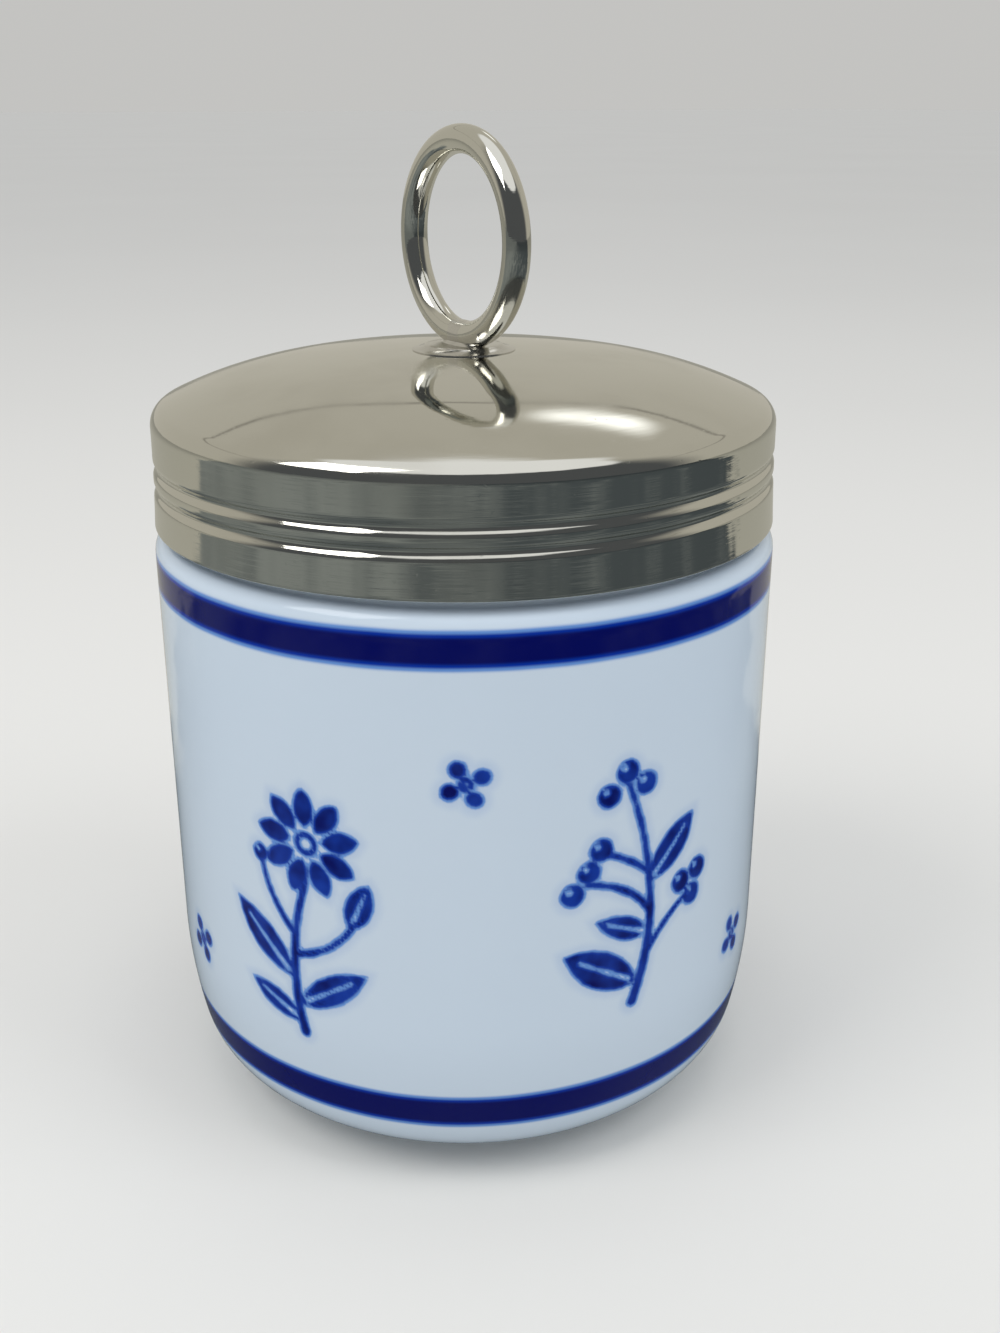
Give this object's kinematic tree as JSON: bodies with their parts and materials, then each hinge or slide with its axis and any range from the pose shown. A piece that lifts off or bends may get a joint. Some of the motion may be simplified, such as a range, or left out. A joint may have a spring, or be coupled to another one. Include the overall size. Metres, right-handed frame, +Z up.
{
  "type": "egg coddler",
  "caption": "Porcelain egg coddler: a straight cup with a rounded base and a screw neck, closed by a domed metal lid with a soldered lifting ring.",
  "frame": {"origin": "centre of the foot ring's underside, on the surface that the coddler stands on", "axes": "+Z up along the cup's axis, which is also the screw's axis; the lifting ring stands in the YZ plane"},
  "size_m": [0.07, 0.07, 0.1099],
  "materials": {
    "porcelain": "clear glaze over white porcelain with cobalt blue bands and sprigs",
    "lid_metal": "polished nickel plate with fine wear scratches",
    "ring_metal": "polished nickel plate",
    "solder": "bright solder"
  },
  "bodies": {
    "cup": {"porcelain_cup": "porcelain"},
    "lid_carrier": {"ring_solder": "solder"},
    "lid": {"screw_lid": "lid_metal", "lifting_ring": "ring_metal"}
  },
  "joints": [
    {"name": "lid_lift", "type": "slide", "parent": "cup", "child": "lid_carrier", "axis": [0, 0, 1], "range_m": [0, 0.0162]},
    {"name": "lid_turn", "type": "hinge", "parent": "lid_carrier", "child": "lid", "pos_m": [0, 0, 0], "axis": [0, 0, 1], "range_deg": [0, 2520]}
  ],
  "couplings": [
    {"joint": "lid_lift", "follows": "lid_turn", "m_per_rad": 0.00036606}
  ]
}
